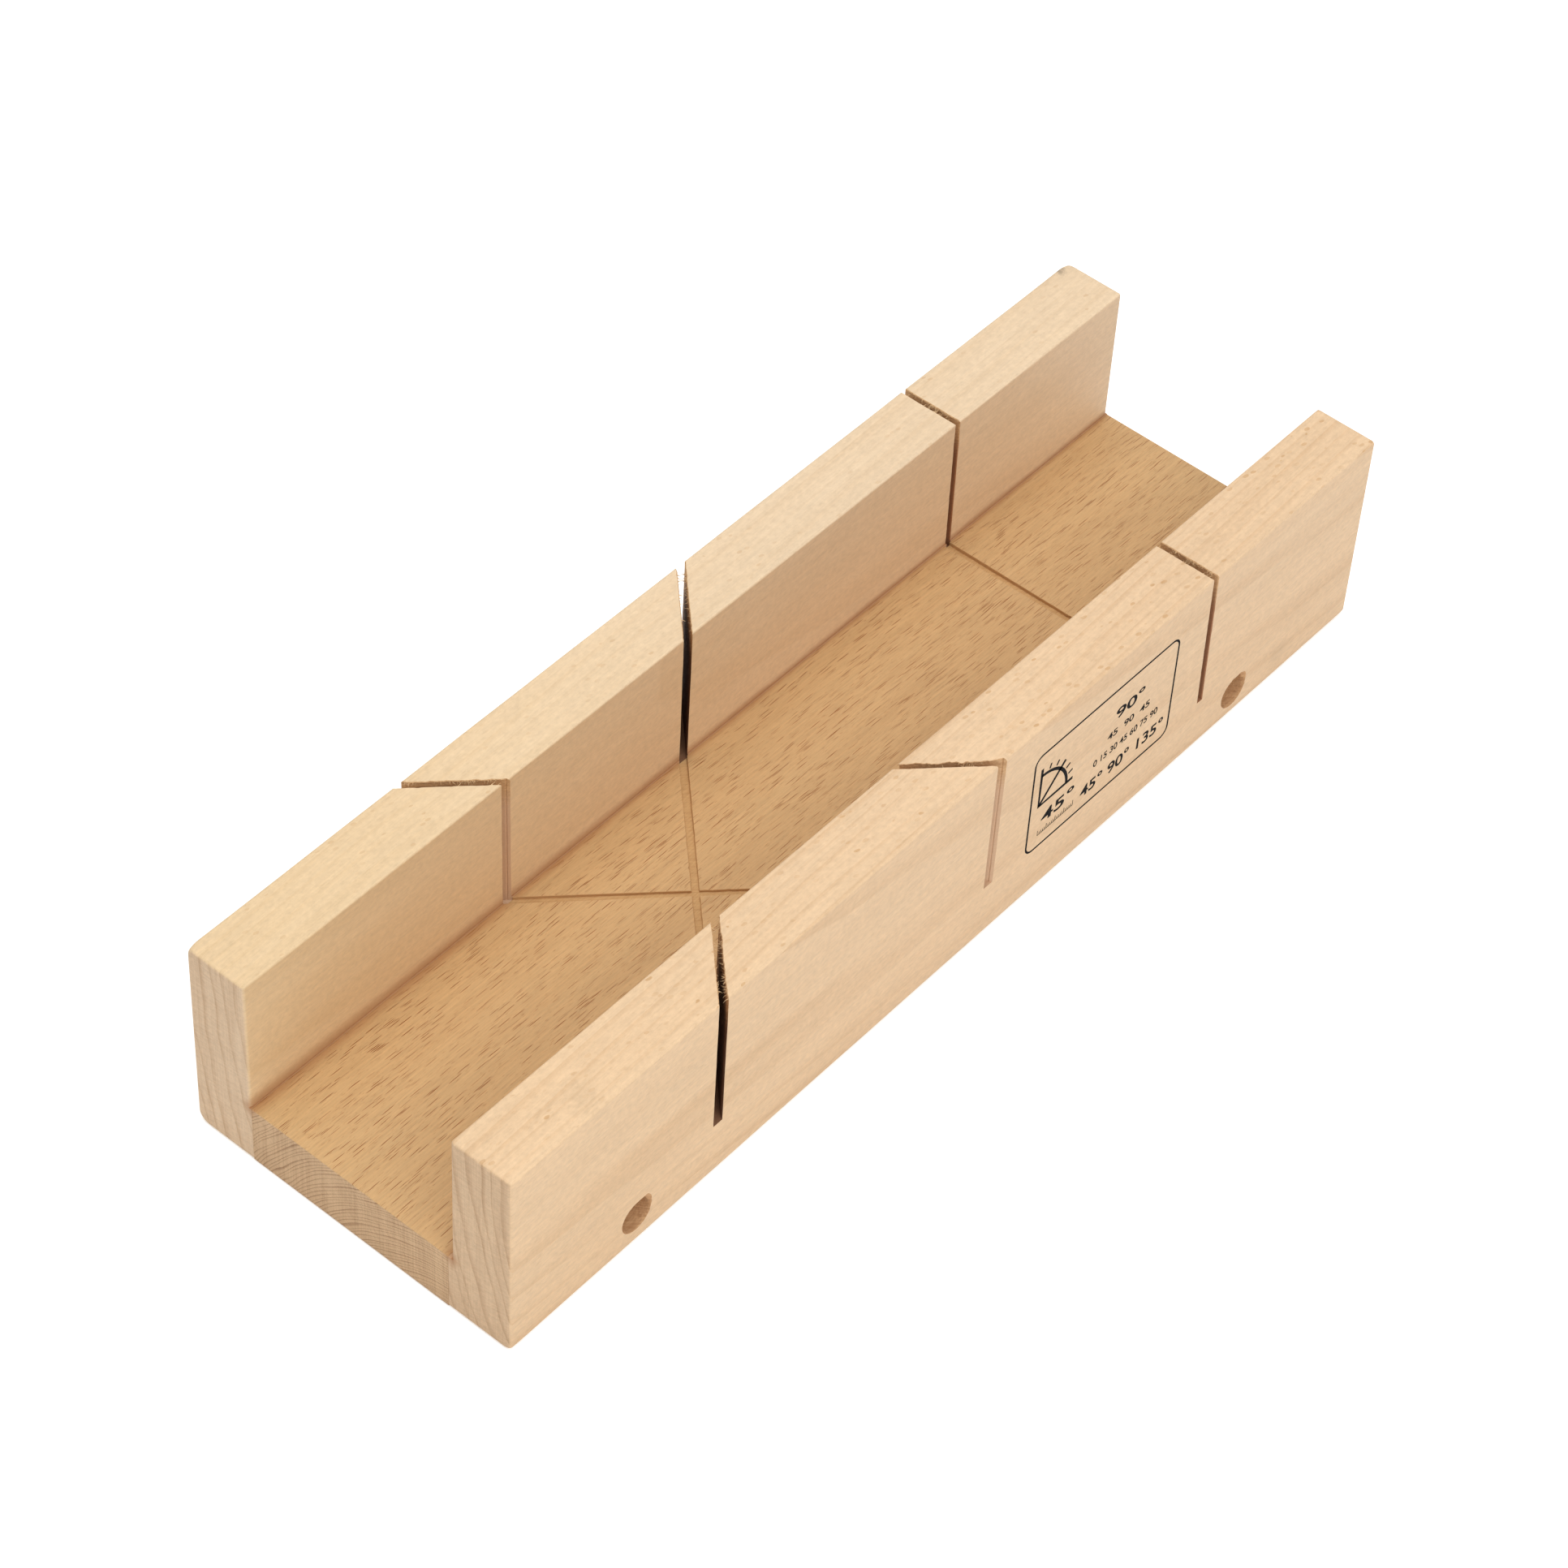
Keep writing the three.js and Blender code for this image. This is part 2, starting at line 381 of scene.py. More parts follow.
def wall_kerf(cut, side, material):
    """The part of a saw cut that runs through one wall."""
    rise = math.sin(math.radians(cut["angle"]))
    inner = side * WALL_INNER[side] / rise
    outer = side * (OUTER - SKIN) / rise
    low, high = min(inner, outer), max(inner, outer)
    under = side * WALL_JOINT[side] / rise
    bevel = ARRIS / abs(rise)
    top = TOP - SKIN
    bottom = FLOOR - cut["into_base"]
    wall = WALL_NAME[side]
    outward = side * math.cos(math.radians(cut["angle"]))

    def between(ends, z):
        at_top, at_bottom = ends
        return mixed(at_bottom, at_top, (z - bottom) / (top - bottom))

    def lean(z):
        return between(cut[wall + "_lean"], z)

    def corner_wear(s, hand):
        """How far the corners of the wood beside the kerf are worn back, where they are acute."""
        at_outer = max(0.0, outward * hand) * near((s - outer) * rise, CORNER_WEAR_REACH) ** 2
        at_inner = max(0.0, -outward * hand) * near((s - inner) * rise, CORNER_WEAR_REACH) ** 2
        return CORNER_WEAR * (at_outer + INNER_CORNER_SHARE * at_inner)

    def burr(s, z, hand):
        """How far torn wood hangs over the kerf. It comes from the +X side, where hand * rise is negative."""
        if hand * rise > 0:
            return 0.0
        worn_off = near((s - outer) * rise, CORNER_WEAR_REACH)
        uneven = BURR_MEAN + BURR_SPREAD * ragged(s / BURR_SPACING, 3.0 * side, cut["angle"])
        return cut["burr"][side] * uneven * near(top - z, BURR_DEPTH) ** 0.5 * (1.0 - worn_off)

    def half_width(s, z, hand):
        face_distance = min(abs(s - inner), abs(s - outer)) * abs(rise)
        corner = max(near(face_distance, ARRIS), near(top - z, ARRIS))
        edge_distance = min(face_distance, abs(top - z))
        rough = KERF_ROUGHNESS * ragged(s / 2.5, z / 6.0, 5.0 * hand)
        broken = ARRIS * corner + edge_chips(s, z, hand, edge_distance) + corner_wear(s, hand)
        return between(cut[wall], z) / 2 + rough + broken - burr(s, z, hand)

    lengths = steps_between(
        min(low, under) - OVERSHOOT,
        max(high, under) + OVERSHOOT,
        KERF_FINE_GRID,
        extra=[face + offset for face in (inner, outer) for offset in (-bevel, 0, bevel)],
    )
    lip = [top - BURR_DEPTH, top - BURR_DEPTH / 2, top - ARRIS, top]
    levels = steps_between(bottom, top + OVERSHOOT, KERF_GRID, extra=lip)
    return kerf_cutter(cut, lengths, lambda s: levels, half_width, lean, material)


def base_kerf(cut, material):
    """The shallow part of a saw cut that scores the base."""
    rise = math.sin(math.radians(cut["angle"]))
    reach = (BASE_HIGH.y + OVERSHOOT) / abs(rise)
    at_rear, at_front = cut["base"]
    deep_rear, deep_front = cut["depth"]

    def forward(s):
        """0 at the rear wall and 1 at the front wall."""
        return min(1.0, max(0.0, 0.5 - s * rise / (2 * WALL_INNER[1])))

    def half_width(s, z, hand):
        rough = KERF_ROUGHNESS * ragged(s / 2.5, z / 6.0, 9.0 * hand)
        chips = edge_chips(s, z, hand, abs(FLOOR - z))
        flare = 0.5 * ARRIS * near(FLOOR - z, ARRIS / 2)
        return mixed(at_rear, at_front, forward(s)) / 2 + flare + rough + chips

    def heights(s):
        rough = BOTTOM_ROUGHNESS * ragged(s / 4.0, 0.0, cut["angle"])
        depth = mixed(deep_rear, deep_front, forward(s)) + rough
        return [FLOOR - depth, FLOOR - depth / 2, FLOOR - ARRIS / 2, FLOOR, FLOOR + OVERSHOOT]

    lengths = steps_between(-reach, reach, KERF_GRID / 2)
    return kerf_cutter(cut, lengths, heights, half_width, lambda z: 0.0, material)


# ---- screws and their holes --------------------------------------------------------------------

HOLE_SEGMENTS = 72
# A counterbore's lip, widened down to LIP_DEPTH by one big tear, TEAR_DEGREES round the hole, and by small
# nicks. A higher LIP_WHOLE leaves more of the rim free of nicks.
LIP_TEAR = 1.1
TEAR_DEGREES = 42
TEAR_NARROWNESS = 8
LIP_NICKS = 0.5
LIP_WHOLE = 0.1
LIP_DEPTH = 0.9
LIP_BEVEL = 0.08
# How much wider a hole's cutter grows outside the wood, and the depth below which it is a plain cylinder.
MOUTH_FLARE = 1.0
STRAIGHT_FROM = 2.0


def screw_station(name):
    """Where a screw's axis meets its wall's outer face."""
    low, high = node_box(name)
    middle = (low + high) / 2
    return middle.x, middle.z


def screw_hole(name, material):
    """Counterbore with a torn lip, conical seat and pilot hole."""
    x, z = screw_station(name)
    side = SCREWS[name]
    hole = SHANK_RADIUS + SCREW_CLEARANCE
    seat = HEAD_RADIUS + SCREW_CLEARANCE
    seat_depth = COUNTERBORE_DEPTH + HEAD_RIM + SCREW_CLEARANCE
    screw_end = COUNTERBORE_DEPTH + node_box(name)[1].y - node_box(name)[0].y + SCREW_CLEARANCE

    def lip(depth, angle):
        """How far the drill tore the lip out, most of it on one side."""
        torn = max(0.0, math.cos(angle - math.radians(TEAR_DEGREES))) ** TEAR_NARROWNESS
        nicked = max(0.0, ragged(4 * math.cos(angle), 4 * math.sin(angle), x) - LIP_WHOLE)
        broken = (LIP_TEAR * torn + LIP_NICKS * nicked) * near(depth, LIP_DEPTH)
        return broken + LIP_BEVEL * near(depth, ARRIS)

    profile = [
        (-OVERSHOOT, COUNTERBORE_RADIUS + MOUTH_FLARE),
        *((depth, COUNTERBORE_RADIUS) for depth in (0.0, ARRIS, LIP_DEPTH, STRAIGHT_FROM, seat_depth)),
        (seat_depth, seat),
        (COUNTERBORE_DEPTH + HEAD_HEIGHT + SCREW_CLEARANCE, hole),
        (screw_end, hole),
    ]
    rings = []
    for depth, radius in profile:
        ring = []
        for i in range(HOLE_SEGMENTS):
            angle = math.tau * i / HOLE_SEGMENTS
            r = radius + (lip(depth, angle) if depth >= 0 else 0.0)
            ring.append((x + r * math.cos(angle), side * (OUTER - SKIN - depth), z + r * math.sin(angle)))
        rings.append(ring)
    bm = bmesh.new()
    loft(bm, rings)
    return piece_from("cutter", bm, [material])


def recess_depth(u, v):
    """Depth of the cross recess at a place on the head's face."""
    deepest = 0.0
    for along, across in ((u, v), (v, u)):
        floor = RECESS_DEPTH * max(0.0, 1.0 - abs(along) / RECESS_REACH)
        wall = max(0.0, min(1.0, (RECESS_HALF_WIDTH - abs(across)) / RECESS_EDGE))
        deepest = max(deepest, floor * wall)
    return deepest


def screw_profile(length):
    """Radius and depth pairs from the middle of the head's face down to the tip."""
    face = [(HEAD_RADIUS * i / HEAD_RINGS, 0.0) for i in range(1, HEAD_RINGS)]
    face.append((HEAD_RADIUS - HEAD_BEVEL, 0.0))
    head = [(HEAD_RADIUS, HEAD_BEVEL), (HEAD_RADIUS, HEAD_RIM), (SHANK_RADIUS, HEAD_HEIGHT)]
    thread_top = HEAD_HEIGHT + PLAIN_SHANK
    thread = [(SHANK_RADIUS, depth) for depth in steps_between(thread_top, length, THREAD_PITCH / 10)]
    return face + head + thread


def thread_radius(depth, angle, length):
    """Radius of the helical thread, running out at the shank and at the tip."""
    start = HEAD_HEIGHT + PLAIN_SHANK
    if depth <= start:
        return SHANK_RADIUS
    turns = depth / THREAD_PITCH - angle / math.tau
    crest = abs(2 * (turns - math.floor(turns)) - 1) ** THREAD_SHARPNESS
    core = mixed(SHANK_RADIUS, THREAD_CORE_RADIUS, min(1.0, (depth - start) / THREAD_PITCH))
    tip = min(1.0, (length - depth) / TIP_LENGTH)
    return tip * mixed(core, SHANK_RADIUS, crest) + TIP_RADIUS


def screw(name, material):
    low, high = node_box(name)
    x, z = screw_station(name)
    side = SCREWS[name]
    length = high.y - low.y
    head = OUTER - COUNTERBORE_DEPTH
    rings = []
    for radius, depth in screw_profile(length):
        ring = []
        for i in range(SCREW_SEGMENTS):
            angle = math.tau * i / SCREW_SEGMENTS
            r = thread_radius(depth, angle, length) if depth > HEAD_HEIGHT else radius
            u, v = r * math.cos(angle), r * math.sin(angle)
            sunk = recess_depth(u, v) if depth == 0.0 else depth
            ring.append((x + u, side * (head - sunk), z + v))
        rings.append(ring)
    bm = bmesh.new()
    loft(bm, rings)
    return piece_from(name + "_zinc", bm, [material])


# ---- fibres left along the saw cuts ------------------------------------------------------------

FIBRE_RADIUS = 0.09
FIBRE_TAPER = 0.8
FIBRE_STEPS = 5
# Lowest and highest length, depth of the root, lean, rise and curl of a fibre, and the share of the fibres
# that stand on a kerf's -X side.
FIBRE_LENGTH = (0.5, 1.6)
FIBRE_DROP = (0.1, 0.3)
FIBRE_LEAN = (-0.9, 0.9)
FIBRE_RISE = (-0.3, 0.1)
FIBRE_CURL = (-1.2, 1.2)
OTHER_SIDE_SHARE = 0.15
LONE_FIBRES = 18
TUFTS = 4
TUFT_FIBRES = 14
TUFT_SPREAD = 0.035


def fibre(bm, root, direction, length, curl):
    """A tapered splinter that bends as it grows."""
    side = direction.cross(Vector((0, 0, 1))).normalized()
    rise = side.cross(direction).normalized()
    place = root.copy()
    rings = []
    for i in range(FIBRE_STEPS + 1):
        share = i / FIBRE_STEPS
        radius = FIBRE_RADIUS * (1.0 - FIBRE_TAPER * share)
        ring = []
        for corner in range(3):
            angle = math.tau * corner / 3
            ring.append(place + side * radius * math.cos(angle) + rise * radius * math.sin(angle))
        rings.append(ring)
        place += (direction + side * curl * share) * length / FIBRE_STEPS
        place.z = min(place.z, TOP - SKIN - FIBRE_RADIUS)
    loft(bm, rings)


def fibre_places(rng):
    """Shares of a kerf's length where fibres stand: a few anywhere, and more in tufts."""
    places = [rng.uniform(0.1, 0.9) for _ in range(LONE_FIBRES)]
    for _ in range(TUFTS):
        tuft = rng.uniform(0.1, 0.9)
        places += [tuft + rng.gauss(0.0, TUFT_SPREAD) for _ in range(TUFT_FIBRES)]
    return [min(0.95, max(0.05, place)) for place in places]


def kerf_fibres(material, seed):
    """Splinters that stand out of the saw cuts' upper edges, most of them on the +X side."""
    rng = random.Random(seed)
    bm = bmesh.new()
    for cut in SAW_CUTS:
        along, across = kerf_axes(cut)
        rise = math.sin(math.radians(cut["angle"]))
        for side in (-1, 1):
            wall = WALL_NAME[side]
            start = Vector((cut["crossing"] + cut[wall + "_lean"][0], 0, TOP - SKIN))
            faces = [side * WALL_INNER[side] / rise, side * OUTER / rise]
            for share in fibre_places(rng):
                hand = -math.copysign(1, rise) * (-1 if rng.random() < OTHER_SIDE_SHARE else 1)
                drop = Vector((0, 0, -rng.uniform(*FIBRE_DROP)))
                root = start + drop + along * mixed(faces[0], faces[1], share)
                root += across * hand * (cut[wall][0] / 2 + ARRIS)
                spread = [rng.uniform(*FIBRE_LEAN), rng.uniform(*FIBRE_LEAN), rng.uniform(*FIBRE_RISE)]
                direction = (Vector(spread) - across * hand).normalized()
                fibre(bm, root, direction, rng.uniform(*FIBRE_LENGTH), rng.uniform(*FIBRE_CURL))
    return piece_from("kerf_fibres", bm, [material])


# ---- shader helpers ----------------------------------------------------------------------------


def srgb(red, green, blue):
    """A screen colour, 0 to 255 a channel, as the linear colour that shaders use."""

    def linear(value):
        share = value / 255
        return share / 12.92 if share <= 0.04045 else ((share + 0.055) / 1.055) ** 2.4

    return (linear(red), linear(green), linear(blue), 1.0)


class Term:
    """A number, vector or colour that a shader works out. Arithmetic on terms adds nodes."""

    def __init__(self, shader, socket):
        self.shader = shader
        self.socket = socket

    def __add__(self, other):
        return self.shader.math("ADD", self, other)

    def __sub__(self, other):
        return self.shader.math("SUBTRACT", self, other)

    def __rsub__(self, other):
        return self.shader.math("SUBTRACT", other, self)

    def __mul__(self, other):
        return self.shader.math("MULTIPLY", self, other)

    def __truediv__(self, other):
        return self.shader.math("DIVIDE", self, other)


class Shader:
    """A material's node tree, with a short call for each kind of node this script uses."""

    def __init__(self, name):
        self.material = bpy.data.materials.new(name)
        self.material.use_nodes = True
        self.nodes = self.material.node_tree.nodes
        self.links = self.material.node_tree.links
        self.surface = self.nodes["Principled BSDF"]

    def put(self, socket, value):
        if isinstance(value, Term):
            self.links.new(value.socket, socket)
        else:
            socket.default_value = value

    def math(self, operation, *values):
        node = self.nodes.new("ShaderNodeMath")
        node.operation = operation
        for socket, value in zip(node.inputs, values):
            self.put(socket, value)
        return Term(self, node.outputs[0])

    def split(self, vector):
        node = self.nodes.new("ShaderNodeSeparateXYZ")
        self.put(node.inputs[0], vector)
        return [Term(self, output) for output in node.outputs]

    def vector(self, x, y, z):
        node = self.nodes.new("ShaderNodeCombineXYZ")
        for socket, value in zip(node.inputs, (x, y, z)):
            self.put(socket, value)
        return Term(self, node.outputs[0])

    def position(self):
        """X, Y and Z of the shaded point in the row frame, in millimetres."""
        node = self.nodes.new("ShaderNodeTexCoord")
        return [value / MM for value in self.split(Term(self, node.outputs["Object"]))]

    def normal(self):
        node = self.nodes.new("ShaderNodeNewGeometry")
        return self.split(Term(self, node.outputs["True Normal"]))

    def noise(self, x, y, z, detail=2.0, roughness=0.5):
        """Smooth noise about 0, mostly between -0.3 and 0.3."""
        node = self.nodes.new("ShaderNodeTexNoise")
        self.put(node.inputs["Vector"], self.vector(x, y, z))
        node.inputs["Scale"].default_value = 1.0
        node.inputs["Detail"].default_value = detail
        node.inputs["Roughness"].default_value = roughness
        return Term(self, node.outputs[0]) - 0.5

    def cells(self, x, y, z):
        """Distance to the nearest of the random points, one to a unit cube, and that point's lot."""
        node = self.nodes.new("ShaderNodeTexVoronoi")
        self.put(node.inputs["Vector"], self.vector(x, y, z))
        node.inputs["Scale"].default_value = 1.0
        lot = self.split(Term(self, node.outputs["Color"]))[0]
        return Term(self, node.outputs["Distance"]), lot

    def rise(self, value, low, high):
        """0 below low and 1 above high, smooth between. With low above high it falls instead."""
        node = self.nodes.new("ShaderNodeMapRange")
        node.interpolation_type = "SMOOTHSTEP"
        for socket, setting in zip(node.inputs, (value, low, high)):
            self.put(socket, setting)
        return Term(self, node.outputs[0])

    def blend(self, first, second, share):
        """A colour between two others."""
        node = self.nodes.new("ShaderNodeMix")
        node.data_type = "RGBA"
        self.put(node.inputs[0], share)
        self.put(node.inputs[6], first)
        self.put(node.inputs[7], second)
        return Term(self, node.outputs[2])

    def lit(self, colour, gain):
        """A colour made lighter or darker by a gain about 1."""
        node = self.nodes.new("ShaderNodeVectorMath")
        node.operation = "SCALE"
        self.put(node.inputs[0], colour if isinstance(colour, Term) else colour[:3])
        self.put(node.inputs["Scale"], gain)
        return Term(self, node.outputs[0])

    def finish(self, colour, roughness, height=None, relief=0.05, metallic=0.0):
        """Wires up the surface. relief is the height's full scale in millimetres."""
        self.put(self.surface.inputs["Base Color"], colour)
        self.put(self.surface.inputs["Roughness"], roughness)
        self.surface.inputs["Metallic"].default_value = metallic
        if height is not None:
            bump = self.nodes.new("ShaderNodeBump")
            bump.inputs["Distance"].default_value = relief * MM
            self.put(bump.inputs["Height"], height)
            self.links.new(bump.outputs[0], self.surface.inputs["Normal"])
        return self.material


# ---- beech -------------------------------------------------------------------------------------

# A coordinate over a length, such as along / 12, makes a pattern about that many millimetres long.

# Where each board sat in its tree. bark is the axis that points out of the tree, across the other one,
# pith the tree's middle on those two axes, drift how far the pith moves for each millimetre along X, and
# reach the distance from the pith to the board's broad face. ring is the growth rings' spacing.
# band and end_band are how strongly the rings show on a planed face and on end grain. rays are the wood
# rays and flecks as (length along the grain, thickness, depth towards the bark, share of places that
# hold one, strength, how much they gather in patches), and flat_rays is the share of that strength left
# on the upright faces. vessels, mottle and fibres are how strongly the fine dark pores, the clouding and
# the fine streaks show. warmth is how much yellower the wood grows towards the near end.
BEECH = {
    "base_board": {
        "across_and_bark": ("y", "z"),
        "pith": (-35.0, -28.0),
        "drift": 0.035,
        "reach": 45.5,
        "ring": 0.9,
        "early": srgb(209, 171, 121),
        "late": srgb(184, 138, 88),
        "end_early": srgb(215, 180, 139),
        "end_late": srgb(148, 106, 68),
        "mark": srgb(140, 74, 10),
        "band": 0.10,
        "end_band": 0.75,
        "rays": (4.4, 0.21, 13.0, 0.30, 1.05, 0.15),
        "flat_rays": 1.0,
        "vessels": 0.48,
        "mottle": 0.10,
        "fibres": 0.42,
        "warmth": 0.04,
        "seed": 3.0,
    },
    "front_wall": {
        "across_and_bark": ("z", "y"),
        "pith": (75.0, -240.0),
        "drift": 0.028,
        "reach": 200.0,
        "ring": 3.6,
        "early": srgb(231, 199, 161),
        "late": srgb(209, 169, 126),
        "end_early": srgb(222, 190, 153),
        "end_late": srgb(176, 136, 98),
        "mark": srgb(186, 132, 64),
        "band": 0.36,
        "end_band": 0.50,
        "rays": (2.0, 1.0, 1.2, 0.20, 0.50, 0.7),
        "flat_rays": 0.25,
        "vessels": 0.16,
        "mottle": 0.36,
        "fibres": 0.20,
        "warmth": 0.05,
        "seed": 17.0,
    },
    "rear_wall": {
        "across_and_bark": ("z", "y"),
        "pith": (70.0, -265.0),
        "drift": 0.020,
        "reach": 300.0,
        "ring": 3.9,
        "early": srgb(233, 207, 173),
        "late": srgb(212, 178, 136),
        "end_early": srgb(226, 197, 163),
        "end_late": srgb(180, 140, 100),
        "mark": srgb(190, 142, 84),
        "band": 0.18,
        "end_band": 0.40,
        "rays": (1.8, 1.0, 1.1, 0.10, 0.32, 0.7),
        "flat_rays": 0.10,
        "vessels": 0.13,
        "mottle": 0.34,
        "fibres": 0.18,
        "warmth": 0.22,
        "seed": 31.0,
    },
}
# Grey spots from handling, as (x, y, z, radius, strength).
HANDLING_MARKS = [
    (121.0, -46.4, 7.0, 5.5, 0.10),
    (-123.4, -42.5, 57.3, 6.0, 0.10),
    (146.0, 45.6, 57.3, 2.0, 0.50),
]
# Sawn and drilled wood as (darkest, palest).
SAWN_TONES = {
    "base_board": (srgb(188, 144, 94), srgb(214, 174, 120)),
    "front_wall": (srgb(180, 134, 90), srgb(228, 188, 140)),
    "rear_wall": (srgb(184, 140, 96), srgb(230, 192, 142)),
}
DRILLED_TONES = (srgb(180, 130, 88), srgb(226, 184, 136))
FIBRE_TONES = (srgb(190, 150, 104), srgb(230, 198, 152))
# Painted shade on the upright sides of the base's kerfs.
KERF_SIDE_SHADE_IN_BASE = srgb(192, 150, 102)
WARM_BEECH = srgb(225, 184, 98)
# Glue stain and painted shade for the channel's bottom corners.
GLUE_STAIN_AND_CORNER_SHADE = srgb(168, 108, 58)
GRIME = srgb(96, 84, 70)


def grain_place(shader, wood):
    """How far along the grain, round the tree and out from its pith the shaded point lies."""
    place = dict(zip("xyz", shader.position()))
    x = place["x"]
    across_axis, bark_axis = wood["across_and_bark"]
    across, out = place[across_axis], place[bark_axis]
    seed = wood["seed"]
    sway = shader.noise(x / 55, across / 16 + seed, out / 16, detail=1.0) * 1.4
    lift = shader.noise(x / 70, across / 20, out / 20 + seed, detail=1.0) * 3.0
    weave = shader.noise(x / 9, across / 4, out / 4 + seed, detail=1.0) * 0.2
    across = across - wood["pith"][0] + sway + weave
    out = out - wood["pith"][1] - x * wood["drift"] + lift
    radius = shader.math("SQRT", across * across + out * out)
    return x + seed * 50, across / out * wood["reach"], radius


def latewood(shader, wood, along, around, radius):
    """0 in the pale spring wood, rising through each ring to 1 at its dark outer edge."""
    uneven = shader.noise(along / 300, around / 60, radius / (wood["ring"] * 2.5), detail=1.0) * 2.6
    within = shader.math("FRACT", radius / wood["ring"] + uneven)
    strength = shader.noise(along / 90, around / 25, radius / (wood["ring"] * 1.5)) * 1.6 + 0.75
    line = shader.rise(within, 0.60, 0.97) - shader.rise(within, 0.97, 1.0)
    return line * strength


def wood_rays(shader, size, along, around, radius):
    """1 in the middle of the darkest rays, less in paler ones, 0 between them."""
    length, thickness, depth, share, strength, gather = size
    staggered = along / length - around / thickness * 0.618 + radius / depth * 0.382
    distance, lot = shader.cells(staggered, around / thickness, radius / depth)
    torn = shader.noise(along / 0.8, around / 0.4, radius / 0.5, detail=2.0) * 0.15
    patches = shader.rise(shader.noise(along / 24, around / 7, radius / 7), -0.12, 0.12)
    marks = shader.rise(distance + torn, 0.46, 0.34) * shader.rise(lot, 1.0 - share, 1.0)
    return marks * (patches * gather + (1.0 - gather)) * strength


def handling(shader):
    """How much dirt lies on the shaded point."""
    x, y, z = shader.position()
    total = 0.0
    for mark_x, mark_y, mark_z, radius, strength in HANDLING_MARKS:
        away_x, away_y, away_z = x - mark_x, y - mark_y, z - mark_z
        away = shader.math("SQRT", away_x * away_x + away_y * away_y + away_z * away_z)
        size = radius * 0.4
        blotch = shader.noise(x / size, y / size, z / size, detail=4.0, roughness=0.7)
        total = shader.rise(away / radius - blotch * 1.8, 1.0, 0.1) * strength + total
    return total


def glue_stain_and_corner_shade(shader):
    """Brown band along the channel's bottom corners: partly glue stain, partly painted shade where the walls
    meet the floor, with a thin dark seam at the joint.
    """
    x, y, z = shader.position()
    off_centre = shader.math("ABSOLUTE", y)
    off_wall = shader.math("ABSOLUTE", off_centre - (WALL_INNER[1] + 0.1))
    up = shader.math("ABSOLUTE", z - FLOOR)
    patchy = shader.noise(x / 30, y / 6, z / 6, detail=4.0, roughness=0.6)
    wide = shader.rise(x, 20.0, -110.0) * 1.6 + 1.6
    # Soft brown band: glue stain and painted corner shade.
    stain_and_shade = shader.rise((off_wall + up * 0.7 - patchy * 1.6) / wide, 1.1, 0.1) * 0.55
    seam = shader.rise(off_wall + up, 0.40, 0.20) * 0.25
    return stain_and_shade + seam


def end_saw_lines(shader, wood):
    """Fine upright lines that the saw left on the board's ends, with broader soft bands."""
    _, y, z = shader.position()
    fine = shader.noise(y / 0.35, z / 25, wood["seed"], detail=2.0)
    broad = shader.noise(y / 3.5, z / 60, wood["seed"] + 4.0, detail=1.0)
    return fine + broad


def planed_beech(name, wood):
    """Solid beech, the same wood through every face: rings, rays, vessels and fibres."""
    shader = Shader(name)
    along, around, radius = grain_place(shader, wood)
    late = latewood(shader, wood, along, around, radius)
    rays = wood_rays(shader, wood["rays"], along, around, radius)
    fibres = shader.noise(along / 12, around / 0.45, radius / 0.45, detail=3.0)
    streaks = shader.noise(along / 70, around / 4.0, radius / 4.0, detail=3.0)
    mottle = shader.noise(along / 1.6, around / 1.1, radius / 1.1, detail=3.0, roughness=0.65)
    spokes = shader.noise(along / 9, around / 0.4, radius / 9, detail=2.0)
    vessels = shader.rise(shader.noise(along / 2.0, around / 0.18, radius / 0.18, detail=1.0), 0.12, 0.28)
    patches = shader.noise(along / 110, around / 14, radius / 14, detail=2.0)

    normal_x, _, normal_z = [shader.math("ABSOLUTE", value) for value in shader.normal()]
    end_grain = shader.rise(normal_x, 0.6, 0.95)
    flecked = shader.rise(normal_z, 0.3, 0.8) * (1.0 - wood["flat_rays"]) + wood["flat_rays"]
    saw_lines = end_saw_lines(shader, wood)
    side = shader.blend(wood["early"], wood["late"], late * wood["band"] + streaks * 0.5 + 0.15)
    ringed = late * wood["end_band"] + spokes * 0.5 + saw_lines * 0.6 + 0.15
    end = shader.blend(wood["end_early"], wood["end_late"], ringed)
    colour = shader.blend(side, end, end_grain)
    clouding = mottle * wood["mottle"] + fibres * wood["fibres"]
    warmth = shader.rise(shader.position()[0], 60.0, -HALF_LENGTH) * (1.0 - end_grain) * wood["warmth"]
    colour = shader.blend(colour, WARM_BEECH, warmth)
    colour = shader.lit(colour, patches * 0.10 + clouding + 1.0)
    colour = shader.blend(colour, wood["mark"], rays * flecked * (1.0 - end_grain * 0.85))
    colour = shader.blend(colour, wood["mark"], vessels * wood["vessels"])
    # Glue stain and painted shade along the channel's bottom corners.
    colour = shader.blend(colour, GLUE_STAIN_AND_CORNER_SHADE, glue_stain_and_corner_shade(shader))
    colour = shader.blend(colour, GRIME, handling(shader))

    height = 0.6 - rays * 0.5 - vessels * 0.35 + fibres * 0.4 + mottle * 0.4 + saw_lines * end_grain * 0.6
    roughness = end_grain * 0.15 + vessels * 0.1 + fibres * 0.15 + 0.56
    return shader.finish(colour, roughness, height, relief=0.05)


